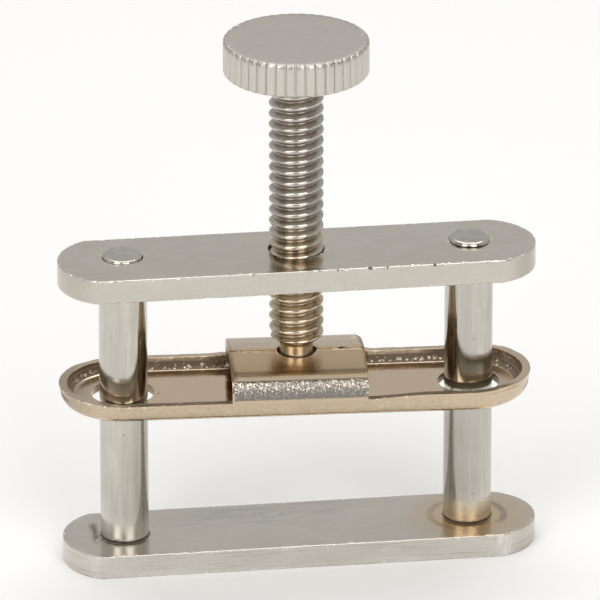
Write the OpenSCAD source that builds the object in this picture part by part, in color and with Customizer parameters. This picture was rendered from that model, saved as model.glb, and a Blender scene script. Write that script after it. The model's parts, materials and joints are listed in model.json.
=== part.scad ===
// Screw clamp for pinching rubber tubing.
//
// Two flat bars are held apart by two riveted posts. A jaw, pressed and folded from one
// sheet, rides on the posts. A thumbscrew through the top bar ends in a button that is
// caught under the jaw's folded hood, so it pushes the jaw down on a tube and lifts it again.
//
// Millimetres, +Z up. The origin is on the screw's axis, at the underside of the base bar.
// X runs along the bars, and the tube is laid along Y between the base bar and the jaw.

/* [Bars] */
// Length of a bar over its round ends
bar_length = 44.5; // [40:0.5:60]
// Width of a bar
bar_width = 10; // [8:0.1:14]
// Thickness of a bar
bar_thickness = 2.25; // [1.5:0.05:4]
// Clear height between the two bars
bar_gap = 25.5; // [20:0.5:45]
// Bevel along a bar's edges
bar_bevel = 0.12; // [0.05:0.01:0.3]

/* [Posts] */
// Distance between the axes of the posts
post_spacing = 32.3; // [29:0.1:38]
// Diameter of a post between the bars
post_diameter = 4.5; // [3.9:0.1:5.5]
// Diameter of the tenon that passes through a bar
tenon_diameter = 3.5; // [2.5:0.1:3.7]
// Radial clearance of a tenon in its hole
tenon_clearance = 0.02; // [0.01:0.01:0.1]
// Countersink at the outer mouth of a tenon's hole
tenon_countersink = 0.2; // [0.1:0.05:0.4]
// How far riveting has spread a tenon's end
rivet_spread = 0.13; // [0.05:0.01:0.15]
// Height of the left rivet head above the top bar
left_rivet_height = 0.22; // [0.1:0.01:1]
// Height of the right rivet head above the top bar
right_rivet_height = 0.68; // [0.1:0.01:1]
// Bevel at a post's shoulders
post_bevel = 0.15; // [0.05:0.05:0.3]

/* [Jaw] */
// Length of the jaw over its round ends, at the rim
jaw_length = 44; // [41:0.5:52]
// Width of the jaw at the rim
jaw_width = 12.2; // [10.5:0.1:16]
// Height of the rim above the jaw's underside
rim_height = 1.85; // [1.4:0.05:4]
// Thickness of the sheet
sheet = 0.77; // [0.5:0.01:1.1]
// Outward lean of the rim, in degrees
rim_lean = 12; // [2:1:20]
// Inside radius of the bend between floor and rim
floor_bend = 0.35; // [0.2:0.05:0.6]
// Total play of a post in its guide hole
guide_play = 1.3; // [0.3:0.05:1.6]
// Part of that play that the jaw has turned through
jaw_swing = 0.85; // [0:0.05:0.9]
// How far the jaw hangs down towards its right end, in degrees
jaw_tilt = 0.5; // [0:0.1:0.8]

/* [Hood] */
// Length of the hood along the bar
hood_length = 12.6; // [9:0.1:16]
// Inside radius of the front bend between rim and flap
front_bend = 0.83; // [0.4:0.01:1]
// Inside radius of the rear bend
rear_bend = 0.65; // [0.4:0.01:1]
// Rise of the front flap towards the seam, in degrees
front_rise = 4; // [2:1:8]
// Rise of the rear flap
rear_rise = 11; // [8:1:14]
// How far the front rim runs on above the tray's rim before its bend
front_foot = 0.4; // [0.1:0.05:0.6]
// Gap between the two flaps
seam_gap = 0.08; // [0.04:0.01:0.3]
// Radius of the one flap corner that is rounded
flap_corner = 0.7; // [0.3:0.1:1.2]
// Radial play of the screw's neck in the hood
neck_play = 0.3; // [0.1:0.05:0.5]

/* [Thumbscrew] */
// Outside diameter of the screw
screw_diameter = 5.1; // [4:0.1:6.5]
// Radial clearance of the screw in the top bar
screw_clearance = 0.05; // [0.02:0.01:0.09]
// Height that the head still has above the top bar with the jaw closed
head_rise = 4.45; // [1:0.05:15]
// Diameter of the neck that the hood closes round
neck_diameter = 3.1; // [2.2:0.1:3.5]
// Height of neck that shows above the hood
neck_show = 0.5; // [0.2:0.1:2]
// Diameter of the button under the hood
button_diameter = 4.5; // [4.3:0.1:5]
// Height of the button
button_height = 2; // [0.8:0.1:2.2]
// Running gap between the button and the flaps that hang on it
button_gap = 0.07; // [0.04:0.01:0.15]
// Diameter of the knurled head
head_diameter = 13.35; // [9:0.05:20]
// Thickness of the head
head_height = 3.4; // [2:0.1:6]
// Bevel at the head's edges
head_bevel = 0.35; // [0.15:0.05:0.6]
// Number of knurl grooves
knurl_count = 44; // [24:1:60]
// Depth of a knurl groove
knurl_depth = 0.13; // [0.05:0.01:0.2]

/* [Setting] */
// Opening between the base bar and the jaw
jaw_opening = 13.3; // [1:0.1:19]

/* [Hidden] */
$fn = 96;

// Heights in the assembled clamp
base_top = bar_thickness;
top_bar_z = base_top + bar_gap;
jaw_z = base_top + jaw_opening;

// Tenons
tenon_r = tenon_diameter / 2;
rivet_r = tenon_r + rivet_spread;

// Bends stand this much proud of the flats beside them, so that they cross them cleanly
bend_swell = 0.002;

// Jaw section, from the middle of the floor outwards: floor, bend, leaning rim
floor_outer_r = floor_bend + sheet;
bend_rise = floor_outer_r * (1 - sin(rim_lean));
floor_half = jaw_width / 2 - floor_outer_r * cos(rim_lean) - (rim_height - bend_rise) * tan(rim_lean);
rim_foot = [floor_half, floor_outer_r];
jaw_straight = jaw_length - jaw_width;
swing_angle = asin(jaw_swing * guide_play / post_spacing);

// Sides of the hood: the rim goes on into a foot, a bend, and a flap that rises to the seam
FOOT = 0;
OUTER_R = 1;
RISE = 2;
front_side = [front_foot, front_bend + sheet, front_rise];
rear_side = [0.1, rear_bend + sheet, rear_rise];
hood_height = max(flap_z(front_side, seam_gap / 2, 0), flap_z(rear_side, seam_gap / 2, 0));
neck_hole_r = neck_diameter / 2 + neck_play;

// Thumbscrew heights
button_r = button_diameter / 2;
button_top = jaw_z + min(flap_z(front_side, button_r, sheet), flap_z(rear_side, button_r, sheet)) - button_gap;
shank_z = jaw_z + hood_height + neck_show;
shank_length = bar_gap + bar_thickness - hood_height - neck_show + head_rise;
head_z = shank_z + shank_length;
button_edge = 0.2;
shank_lead = 0.45;

// Point on a circle of radius r at angle a
function at(r, a) = r * [cos(a), sin(a)];

// Point of the leaning rim at height z, at a depth below its outer face
function rim_point(z, depth) = [jaw_width / 2 + (z - rim_height) * tan(rim_lean) - depth / cos(rim_lean), z];

// Centre of the bend on one side of the hood
function bend_centre(side) = rim_point(rim_height + side[FOOT], 0) - at(side[OUTER_R], -rim_lean);

// Height of a side's flap at a distance x from the jaw's middle, at a depth below its outer face
function flap_z(side, x, depth) =
    bend_centre(side).y + (side[OUTER_R] - depth) / cos(side[RISE]) + (bend_centre(side).x - x) * tan(side[RISE]);

// ---- shared shapes ----

// Half section of a disc whose upper edge is rounded
module rounded_disc_half(r, height, edge) {
    square([r - edge, height]);
    square([r, height - edge]);
    translate([r - edge, height - edge])
        intersection() {
            circle(r = edge);
            square(edge);
        }
}

// A section swept straight along X between the two ends of a stadium
module sweep_straight(length) {
    rotate([90, 0, 90])
        translate([0, 0, -length / 2])
            linear_extrude(length) children();
}

// The same half section swept round both ends
module sweep_ends(length) {
    for (side = [-1, 1])
        translate([side * length / 2, 0, 0])
            rotate([0, 0, side * 90 - 180])
                rotate_extrude(angle = 180) children();
}

// ---- bars ----

module bar_half_section() {
    r = bar_width / 2;
    polygon([
        [0, 0], [r - bar_bevel, 0], [r, bar_bevel],
        [r, bar_thickness - bar_bevel], [r - bar_bevel, bar_thickness], [0, bar_thickness]
    ]);
}

module bar_blank() {
    straight = bar_length - bar_width;
    sweep_straight(straight) {
        bar_half_section();
        mirror([1, 0]) bar_half_section();
    }
    sweep_ends(straight) bar_half_section();
}

// Holes for both tenons, countersunk on the side that is riveted
module tenon_holes() {
    hole_r = tenon_r + tenon_clearance;
    for (side = [-1, 1])
        translate([side * post_spacing / 2, 0, 0]) {
            translate([0, 0, -1]) cylinder(r = hole_r, h = bar_thickness + 2);
            translate([0, 0, bar_thickness - tenon_countersink])
                cylinder(r1 = hole_r, r2 = hole_r + 2 * tenon_countersink, h = 2 * tenon_countersink);
        }
}

module drilled_bar() {
    difference() {
        bar_blank();
        tenon_holes();
    }
}

module base_bar() {
    color([0.74, 0.73, 0.70])
        translate([0, 0, bar_thickness])
            mirror([0, 0, 1]) drilled_bar();
}

module top_bar() {
    bore_r = screw_diameter / 2 + screw_clearance;
    color([0.72, 0.71, 0.68])
        translate([0, 0, top_bar_z])
            difference() {
                drilled_bar();
                translate([0, 0, -1]) cylinder(r = bore_r, h = bar_thickness + 2);
                translate([0, 0, bar_thickness - bar_bevel])
                    cylinder(r1 = bore_r, r2 = bore_r + 2 * bar_bevel, h = 2 * bar_bevel);
            }
}

// ---- posts ----

// Tenon above a shoulder at height 0: it spreads into the countersink and ends in the rivet head
module tenon(rivet_height) {
    flare_z = bar_thickness - rivet_spread;
    head_edge = min(rivet_height, rivet_spread * 3) * 0.8;
    rotate_extrude() {
        square([tenon_r, bar_thickness]);
        polygon([[0, flare_z], [tenon_r, flare_z], [rivet_r, bar_thickness], [0, bar_thickness]]);
        if (rivet_height > 0)
            translate([0, bar_thickness]) rounded_disc_half(rivet_r, rivet_height, head_edge);
    }
}

module post(side, rivet_height) {
    r = post_diameter / 2;
    color([0.78, 0.77, 0.73])
        translate([side * post_spacing / 2, 0, 0]) {
            translate([0, 0, base_top])
                rotate_extrude()
                    polygon([
                        [0, 0], [r - post_bevel, 0], [r, post_bevel],
                        [r, bar_gap - post_bevel], [r - post_bevel, bar_gap], [0, bar_gap]
                    ]);
            translate([0, 0, top_bar_z]) tenon(rivet_height);
            translate([0, 0, base_top]) mirror([0, 0, 1]) tenon(0);
        }
}

module left_post() post(-1, left_rivet_height);

module right_post() post(1, right_rivet_height);

// ---- jaw ----

// All that lies further in than a given depth below the outer face of the tray's side
module tray_side(depth) {
    bend_r = floor_outer_r - depth;
    translate(rim_foot) circle(r = bend_r + bend_swell);
    polygon([
        [0, depth], [floor_half, depth], rim_foot + at(bend_r, -rim_lean),
        rim_point(rim_height, depth), rim_point(2 * rim_height, depth), [0, 2 * rim_height]
    ]);
}

// Floor, bend and rim of the pressed tray, on one side of its middle
module tray_half_section() {
    intersection() {
        difference() {
            tray_side(0);
            tray_side(sheet);
        }
        square([jaw_width, rim_height]);
    }
}

// The same for a side of the hood, above the rim
module hood_side(side, depth) {
    centre = bend_centre(side);
    bend_r = side[OUTER_R] - depth;
    translate(centre) circle(r = bend_r + bend_swell);
    polygon([
        [0, 0], rim_point(0, depth), rim_point(rim_height, depth), centre + at(bend_r, -rim_lean),
        centre + at(bend_r, 90 - side[RISE]), [0, flap_z(side, 0, depth)]
    ]);
}

// Foot, bend and flap of the hood, on one side of its seam
module hood_half_section(side) {
    intersection() {
        difference() {
            hood_side(side, 0);
            hood_side(side, sheet);
        }
        translate([seam_gap / 2, rim_height]) square([jaw_width, hood_height]);
    }
}

// What is trimmed off one end of a flap, to round its corner
module corner_trim() {
    difference() {
        translate([0, 0, -hood_height]) cube([2 * flap_corner, 2 * flap_corner, 2 * hood_height]);
        translate([0, 0, -hood_height - 1]) cylinder(r = flap_corner, h = 2 * hood_height + 2);
    }
}

// The hood grows out of both rims, and its flaps meet on the screw's axis
module hood() {
    flap_edge = bend_centre(rear_side).x + rear_side[OUTER_R];
    difference() {
        sweep_straight(hood_length) {
            hood_half_section(rear_side);
            mirror([1, 0]) hood_half_section(front_side);
        }
        cylinder(r = neck_hole_r, h = 2 * hood_height);
        translate([hood_length / 2 - flap_corner, flap_edge - flap_corner, 0])
            corner_trim();
    }
}

module moving_jaw() {
    color([0.80, 0.70, 0.56])
        translate([0, 0, jaw_z])
            rotate([0, jaw_tilt, -swing_angle]) {
                difference() {
                    union() {
                        sweep_straight(jaw_straight) {
                            tray_half_section();
                            mirror([1, 0]) tray_half_section();
                        }
                        sweep_ends(jaw_straight) tray_half_section();
                    }
                    for (side = [-1, 1])
                        translate([side * post_spacing / 2, 0, -1])
                            cylinder(d = post_diameter + guide_play, h = sheet + 2);
                }
                hood();
            }
}

// ---- thumbscrew ----

// Outline of the head with its knurl grooves
module knurled_outline() {
    r = head_diameter / 2;
    difference() {
        circle(r = r);
        for (i = [0 : knurl_count - 1])
            rotate(i * 360 / knurl_count) translate([r, 0]) circle(r = knurl_depth, $fn = 24);
    }
}

// Both edges of the head are bevelled by cones that meet outside its knurled outline
module head() {
    r = head_diameter / 2;
    intersection() {
        linear_extrude(head_height) knurled_outline();
        rotate_extrude()
            polygon([
                [0, 0], [r - head_bevel, 0], [r - head_bevel + head_height / 2, head_height / 2],
                [r - head_bevel, head_height], [0, head_height]
            ]);
    }
}

module thumbscrew() {
    shank_r = screw_diameter / 2;
    neck_r = neck_diameter / 2;
    color([0.77, 0.75, 0.71]) {
        rotate_extrude() {
            translate([0, button_top - button_height])
                rounded_disc_half(button_r, button_height, button_edge);
            translate([0, button_top - button_edge]) square([neck_r, shank_z - button_top + 2 * button_edge]);
            translate([0, shank_z])
                polygon([[0, 0], [shank_r - shank_lead, 0], [shank_r, shank_lead],
                         [shank_r, shank_length], [0, shank_length]]);
        }
        translate([0, 0, head_z]) head();
    }
}

base_bar();
top_bar();
left_post();
right_post();
moving_jaw();
thumbscrew();
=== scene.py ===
# %% [markdown]
# # A tubing pinch clamp
# Two flat bars are riveted to two posts. A folded sheet jaw slides on the posts, and a
# thumbscrew pushes it down on a rubber tube. Every piece is nickel plated and has been used.
#
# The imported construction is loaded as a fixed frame. Each piece below is a finer mesh of one
# of its nodes, in the same place and at the same size, so that it can carry small wear.

# %% Load the frame
import json
import math

import bmesh
import bpy
from mathutils import Matrix, Vector, noise
from mathutils.geometry import delaunay_2d_cdt
from mathutils.kdtree import KDTree


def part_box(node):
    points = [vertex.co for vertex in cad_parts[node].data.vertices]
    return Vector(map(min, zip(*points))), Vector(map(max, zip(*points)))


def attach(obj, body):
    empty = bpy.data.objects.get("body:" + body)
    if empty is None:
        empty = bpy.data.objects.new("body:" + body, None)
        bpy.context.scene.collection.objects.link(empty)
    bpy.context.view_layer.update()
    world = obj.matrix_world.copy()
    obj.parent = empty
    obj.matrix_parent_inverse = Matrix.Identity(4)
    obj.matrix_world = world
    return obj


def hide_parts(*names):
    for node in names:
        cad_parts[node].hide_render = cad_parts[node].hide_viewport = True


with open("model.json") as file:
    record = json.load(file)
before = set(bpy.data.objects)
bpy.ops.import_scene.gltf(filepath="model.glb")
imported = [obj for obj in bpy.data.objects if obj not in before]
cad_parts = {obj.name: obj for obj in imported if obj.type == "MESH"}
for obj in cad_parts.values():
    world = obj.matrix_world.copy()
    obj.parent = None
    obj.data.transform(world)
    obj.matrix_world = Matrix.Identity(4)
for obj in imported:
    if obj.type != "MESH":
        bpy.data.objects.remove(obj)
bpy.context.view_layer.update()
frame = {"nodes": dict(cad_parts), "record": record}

MM = 0.001
scene = bpy.context.scene
print("nodes:", sorted(frame["nodes"]))

# %% [markdown]
# ## Camera
# A very long lens from nearly a metre away keeps the bars almost parallel. The camera looks
# down a little, and stands a little to the left of the clamp's middle.

# %% Camera
AZIMUTH = math.radians(-7.83)
ELEVATION = math.radians(23.06)
DISTANCE = 0.780
LENS_MM = 505.9
aim_height = 0.0259
aim_right, aim_down = 0.00035, 0.00082


def towards(azimuth, elevation):
    """A unit vector from the clamp, by angles in radians. Azimuth 0 is the front."""
    flat = math.cos(elevation)
    return Vector((math.sin(azimuth) * flat, -math.cos(azimuth) * flat, math.sin(elevation)))


back = towards(AZIMUTH, ELEVATION)
right = Vector((math.cos(AZIMUTH), math.sin(AZIMUTH), 0))
up = back.cross(right)
aim = Vector((0, 0, aim_height)) + right * aim_right - up * aim_down

camera = bpy.data.objects.new("camera", bpy.data.cameras.new("camera"))
camera.data.lens = LENS_MM
camera.data.sensor_width = 36
camera.data.clip_end = 20
turn = Matrix((right, up, back)).transposed().to_4x4()
camera.matrix_world = Matrix.Translation(aim + back * DISTANCE) @ turn
scene.collection.objects.link(camera)
scene.camera = camera
print("camera at", [round(v, 3) for v in camera.matrix_world.translation])

# %% [markdown]
# ## Helpers for node trees
# Shader trees and geometry trees are wired the same way. `put` adds one node, sets or links
# its inputs, and returns its output as a Signal. A Signal can be calculated with like a
# number, and each operation adds a node, so that a mask or a thread reads as a formula.

# %% Node helpers
def wire(tree, socket, value):
    """Links an input to a signal, or sets it to a plain value."""
    if isinstance(value, Signal):
        tree.links.new(value.socket, socket)
    else:
        socket.default_value = value


def put(tree, kind, inputs=None, out=0, **settings):
    """Adds a node and wires its inputs. Returns the output named by out, or one for each name."""
    made = tree.nodes.new(kind)
    for key, value in settings.items():
        setattr(made, key, value)
    for key, value in (inputs or {}).items():
        wire(tree, made.inputs[key], value)
    if isinstance(out, tuple):
        return [Signal(tree, made.outputs[key]) for key in out]
    return Signal(tree, made.outputs[out]) if len(made.outputs) else None


def vector_math(tree, operation, first, second, out=0):
    return put(tree, "ShaderNodeVectorMath", {0: first, 1: second}, out, operation=operation)


def mix(tree, amount, below, above, blend=None):
    """Lays one value over another by an amount, or one colour over another if blend is given."""
    if blend is None:
        return put(tree, "ShaderNodeMix", {0: amount, 2: below, 3: above}, data_type="FLOAT")
    below, above = [(*c, 1) if isinstance(c, tuple) else c for c in (below, above)]
    inputs = {0: amount, 6: below, 7: above}
    return put(tree, "ShaderNodeMix", inputs, 2, data_type="RGBA", blend_type=blend)


# %% Signals
class Signal:
    """A node's output that can be calculated with. Each operation adds a Math node."""

    def __init__(self, tree, socket):
        self.tree, self.socket = tree, socket

    def math(self, operation, *others):
        inputs = dict(enumerate((self, *others)))
        return put(self.tree, "ShaderNodeMath", inputs, operation=operation)

    def __add__(self, other):
        return self.math("ADD", other)

    def __sub__(self, other):
        return self.math("SUBTRACT", other)

    def __rsub__(self, other):
        return self.math("MULTIPLY_ADD", -1.0, other)

    def __mul__(self, other):
        return self.math("MULTIPLY", other)

    def __truediv__(self, other):
        return self.math("DIVIDE", other)

    def __abs__(self):
        return self.math("ABSOLUTE")

    def ramp(self, low, high):
        """0 below low, 1 above high, and smooth in between. It falls if low is above high."""
        inputs = {"Value": self, "From Min": low, "From Max": high}
        return put(self.tree, "ShaderNodeMapRange", inputs, interpolation_type="SMOOTHSTEP")

    def band(self, low, high, soft):
        """1 between low and high, with soft ends."""
        return self.ramp(low - soft, low + soft) * self.ramp(high + soft, high - soft)


print("node helpers ready")

# %% [markdown]
# A node group is made by a function that wires its tree. The group's inputs come from a
# dictionary, and the function gets them as signals.

# %% Node groups
FLOAT, VECTOR, COUNT = "NodeSocketFloat", "NodeSocketVector", "NodeSocketInt"


def make_group(name, kind, inputs, output, build):
    """A node group. Each input is told by its kind of socket, or by a default value.
    build(tree, given) wires the tree and returns what it puts out."""
    tree = bpy.data.node_groups.new(name, kind)
    for label, value in inputs.items():
        plain = VECTOR if isinstance(value, tuple) else FLOAT
        socket_kind = value if isinstance(value, str) else plain
        socket = tree.interface.new_socket(label, in_out="INPUT", socket_type=socket_kind)
        if socket_kind != value:
            socket.default_value = value
    tree.interface.new_socket(output[0], in_out="OUTPUT", socket_type=output[1])
    given = {socket.name: Signal(tree, socket) for socket in tree.nodes.new("NodeGroupInput").outputs}
    wire(tree, tree.nodes.new("NodeGroupOutput").inputs[0], build(tree, given))
    print("group:", name, len(tree.nodes), "nodes")
    return tree


# %% [markdown]
# ## Studio
# Polished metal shows its surroundings more than itself, so the studio is most of the look.
# Two tall softboxes stand either side of the camera with a dark gap between them. The floor
# is bright, the wall behind the clamp is a middle grey, and the room by the camera is dark.

# %% Floor and room
def pale_floor():
    material = bpy.data.materials.new("pale_floor")
    material.use_nodes = True
    shader = material.node_tree.nodes["Principled BSDF"]
    shader.inputs["Base Color"].default_value = (0.90, 0.90, 0.89, 1)
    shader.inputs["Roughness"].default_value = 0.9
    shader.inputs["Specular IOR Level"].default_value = 0.1
    mesh = bpy.data.meshes.new("floor")
    half = 4
    corners = [(-half, -half, 0), (half, -half, 0), (half, half, 0), (-half, half, 0)]
    mesh.from_pydata(corners, [], [(0, 1, 2, 3)])
    mesh.materials.append(material)
    floor = bpy.data.objects.new("floor", mesh)
    floor.location.z = -0.00001
    scene.collection.objects.link(floor)


def room_world(wall, dark, ceiling):
    """A grey wall behind the clamp, a dark room behind the camera and a dim ceiling."""
    world = bpy.data.worlds.new("studio")
    world.use_nodes = True
    tree = world.node_tree
    tree.nodes.clear()
    direction = put(tree, "ShaderNodeTexCoord", out="Generated")
    facing = vector_math(tree, "DOT_PRODUCT", direction, towards(AZIMUTH, 0), "Value")
    height = put(tree, "ShaderNodeSeparateXYZ", {0: direction}, "Z")
    colour = mix(tree, facing.ramp(0.15, 0.65), wall, dark, "MIX")
    colour = mix(tree, height.ramp(0.55, 0.9), colour, ceiling, "MIX")
    background = put(tree, "ShaderNodeBackground", {"Color": colour})
    put(tree, "ShaderNodeOutputWorld", {"Surface": background})
    scene.world = world


scene.view_settings.view_transform = "Standard"
pale_floor()
room_world(wall=(0.60, 0.60, 0.60), dark=(0.20, 0.18, 0.16), ceiling=(0.30, 0.29, 0.28))
print("stage:", scene.world.name)

# %% [markdown]
# A softbox's radiance says how bright it looks in a mirror. Its azimuth is counted from the
# camera's. Distances and sizes are in metres.

# %% Softboxes
def softbox(name, azimuth, elevation, distance, width, height, radiance):
    """An area light that faces the clamp, from an azimuth counted from the camera's, in degrees."""
    away = towards(AZIMUTH + math.radians(azimuth), math.radians(elevation))
    light = bpy.data.objects.new(name, bpy.data.lights.new(name, "AREA"))
    light.data.shape = "RECTANGLE"
    light.data.size, light.data.size_y = width, height
    light.data.energy = radiance * math.pi * width * height
    light.location = Vector((0, 0, aim_height)) + away * distance
    light.rotation_euler = away.to_track_quat("Z", "Y").to_euler()
    scene.collection.objects.link(light)


softbox("softbox_left", azimuth=-35, elevation=37, distance=0.70,
        width=0.34, height=0.86, radiance=2.4)
softbox("softbox_right", azimuth=25, elevation=37, distance=0.70,
        width=0.38, height=0.86, radiance=2.4)
softbox("softbox_behind", azimuth=180, elevation=64, distance=0.90,
        width=0.90, height=0.60, radiance=2.2)

# %% [markdown]
# ## Sizes
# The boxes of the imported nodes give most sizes. The thread's pitch comes from the coupling
# between the jaw's slide and the screw's turn. The rest are the sheet's own sizes.

# %% Sizes in millimetres
def size_of(node):
    low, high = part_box(node)
    return low / MM, high / MM


base_low, base_high = size_of("base_bar")
# The top bar was drilled off its middle and sits a little high
bar_forward, bar_lift = 0.6, 0.25
top_low, top_high = [corner + Vector((0, 0, bar_lift)) for corner in size_of("top_bar")]
post_low, post_high = size_of("right_post")
screw_low, screw_high = size_of("thumbscrew")

bar_length, bar_width = base_high.x - base_low.x, base_high.y - base_low.y
base_top, bar_thickness = base_high.z, base_high.z - base_low.z
post_spacing = post_low.x + post_high.x
post_radius = (post_high.y - post_low.y) / 2
coupling = frame["record"]["behaviour"]["couplings"][0]
pitch = 2 * math.pi / coupling["ratio"] / MM
print(f"bars {bar_length:.2f} x {bar_width:.2f} x {bar_thickness:.2f} mm, pitch {pitch:.4f} mm")
print(f"posts {2 * post_radius:.2f} mm thick and {post_spacing:.2f} mm apart")

# %% [markdown]
# ## Turned and swept meshes
# A half section that follows a circle makes a turned piece, as a lathe does. One that follows
# a stadium makes a bar or a tray with round ends. Both give even rows of faces, which small
# wear can move.

# %% Mesh helpers
def to_object(name, bm):
    """Turns a bmesh in millimetres into an object in metres, at the origin."""
    bmesh.ops.remove_doubles(bm, verts=bm.verts, dist=0.0005)
    bmesh.ops.recalc_face_normals(bm, faces=bm.faces)
    bmesh.ops.transform(bm, matrix=Matrix.Scale(MM, 4), verts=bm.verts)
    mesh = bpy.data.meshes.new(name)
    bm.to_mesh(mesh)
    bm.free()
    made = bpy.data.objects.new(name, mesh)
    scene.collection.objects.link(made)
    return made


def smooth(made, sharp_degrees=35):
    made.data.shade_smooth()
    made.data.set_sharp_from_angle(angle=math.radians(sharp_degrees))


def rows_to_faces(bm, rings, skip=lambda ring, station: False):
    """Joins neighbouring rings of vertices with quads. Each ring is closed."""
    count = len(rings[0])
    for k in range(len(rings) - 1):
        for i in range(count):
            if not skip(k, i):
                j = (i + 1) % count
                bm.faces.new((rings[k][i], rings[k][j], rings[k + 1][j], rings[k + 1][i]))


print("mesh helpers ready")

# %% [markdown]
# A section is a list of points. A station is a place on a path, with the direction that
# leads outwards from it.

# %% Sections and stations
def arc(centre, radius, start, end, steps):
    """Points along an arc, by angles in degrees."""
    points = []
    for i in range(steps + 1):
        a = math.radians(start + (end - start) * i / steps)
        points.append((centre[0] + radius * math.cos(a), centre[1] + radius * math.sin(a)))
    return points


def line(start, end, spacing):
    """Evenly spaced points from start up to, but not including, end."""
    steps = max(1, round(math.dist(start, end) / spacing))
    return [(start[0] + (end[0] - start[0]) * i / steps,
             start[1] + (end[1] - start[1]) * i / steps) for i in range(steps)]


def stadium(straight, radius, spacing, marks=()):
    """Stations round a stadium: (foot on its middle line, outward direction).
    marks are distances along X that get a station of their own on both straight sides."""
    stops = sorted({-straight / 2, straight / 2, *marks})
    front = [p[0] for a, b in zip(stops, stops[1:]) for p in line((a, 0), (b, 0), spacing)]
    turns = max(8, round(math.pi * radius / spacing))
    stations = [((x, 0), (0, -1)) for x in front]
    for side in (1, -1):
        for i in range(turns):
            a = math.radians(-90 * side + 180 * i / turns)
            stations.append(((side * straight / 2, 0), (math.cos(a), math.sin(a))))
        if side == 1:
            stations += [((-x, 0), (0, 1)) for x in front]
    return stations


def circle(count, x=0):
    """Stations round an upright axis, for a turned piece."""
    turns = [2 * math.pi * i / count for i in range(count)]
    return [((x, 0), (math.cos(a), math.sin(a))) for a in turns]


def sweep(bm, section, stations):
    """Rings of vertices where a half section of (distance, height) points follows stations."""
    return [[bm.verts.new((foot[0] + d * out[0], foot[1] + d * out[1], z)) for foot, out in stations]
            for d, z in section]


def swept_wall(bm, section, stations):
    """A sweep whose rings are joined with faces."""
    rings = sweep(bm, section, stations)
    rows_to_faces(bm, rings)
    return rings


print("section helpers ready")

# %% [markdown]
# A flat face is filled between its outline and its holes with a triangulation that also
# takes points of our own. Points inside it let a bar be slightly wavy, as a sheared and
# tumbled bar is. The function below adds a grid of them, clear of the outlines.

# %% Filling flat faces
def fill_flat(bm, loops, spacing, inside, height):
    """Fills between an outline and round holes, given as closed loops of vertices. inside(x, y)
    says where new points may be, and height(x, y) is the height of one."""
    border = [v for loop in loops for v in loop]
    hole_of = [k for k, loop in enumerate(loops) for v in loop]
    edges, start = [], 0
    for loop in loops:
        edges += [(start + i, start + (i + 1) % len(loop)) for i in range(len(loop))]
        start += len(loop)
    points = [v.co.xy for v in border]
    low_x, high_x = min(p.x for p in points), max(p.x for p in points)
    low_y, high_y = min(p.y for p in points), max(p.y for p in points)
    for j in range(1, int((high_y - low_y) / spacing) + 1):
        for i in range(int((high_x - low_x) / spacing) + 1):
            x, y = low_x + spacing * (i + 0.5 * (j % 2)), low_y + spacing * j
            if inside(x, y):
                points.append(Vector((x, y)))
    made, _, faces, origins, _, _ = delaunay_2d_cdt(points, edges, [], 1, 1e-7)
    corners, holes = [], []
    for point, origin in zip(made, origins):
        known = [k for k in origin if k < len(border)]
        new = None if known else bm.verts.new((point.x, point.y, height(point.x, point.y)))
        corners.append(border[known[0]] if known else new)
        holes.append(hole_of[known[0]] if known else 0)
    for face in faces:
        in_hole = holes[face[0]] > 0 and len({holes[k] for k in face}) == 1
        if not in_hole:
            bm.faces.new([corners[k] for k in face])


def bevel_edges(made, width, degrees=40, segments=2):
    """Rounds every sharp edge a little with a Bevel modifier, and keeps the result."""
    bevel = made.modifiers.new("bevel", "BEVEL")
    bevel.width = width * MM
    bevel.segments = segments
    bevel.limit_method = "ANGLE"
    bevel.angle_limit = math.radians(degrees)
    bevel.use_clamp_overlap = True
    bake_modifiers(made)


def bake_modifiers(made):
    """Keeps what the modifiers make as a plain mesh."""
    bpy.context.view_layer.update()
    final = made.evaluated_get(bpy.context.evaluated_depsgraph_get())
    result = bpy.data.meshes.new_from_object(final)
    made.modifiers.clear()
    old, made.data = made.data, result
    result.name = old.name + "_baked"
    bpy.data.meshes.remove(old)


print("filling and bevels ready")

# %% [markdown]
# ## Wear in the mesh
# Where a real edge was knocked, the plating next to it is thin, and glints are painted on it. The shader
# has to know where the edges are, so each vertex gets its distance from the nearest outward
# edge. The knocks are dents in the mesh, made by layers of noise.

# %% Edge distance and knocks
def mark_edges(made, reach, sharp_degrees=18):
    """Stores 1 on outward edges, falling to 0 at a distance of reach millimetres."""
    bm = bmesh.new()
    bm.from_mesh(made.data)
    limit = math.radians(sharp_degrees)
    sharp = [e for e in bm.edges if len(e.link_faces) == 2 and e.calc_face_angle_signed() > limit]
    found = {v.index for e in sharp for v in e.verts}
    tree = KDTree(len(found))
    bm.verts.ensure_lookup_table()
    for index in found:
        tree.insert(bm.verts[index].co, index)
    tree.balance()
    values = [max(0.0, 1 - tree.find(v.co)[2] / (reach * MM)) for v in bm.verts]
    bm.free()
    made.data.attributes.new("edge", "FLOAT", "POINT").data.foreach_set("value", values)


def knock_edges(made, depth, scale, amount, seed):
    """Presses dents into the outward edges, where a noise is above 1 - amount."""
    mesh = made.data
    edge = [0.0] * len(mesh.vertices)
    mesh.attributes["edge"].data.foreach_get("value", edge)
    normals = [v.normal.copy() for v in mesh.vertices]
    for v, share, normal in zip(mesh.vertices, edge, normals):
        if share > 0:
            place = v.co / MM * scale + Vector((seed, 0, seed))
            knock = max(0.0, noise.noise(place) * 0.5 + 0.5 - (1 - amount)) / amount
            fine = noise.noise(place * 4.1) * 0.12
            v.co -= normal * (depth * MM * share * share * (knock + abs(fine)))


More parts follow.
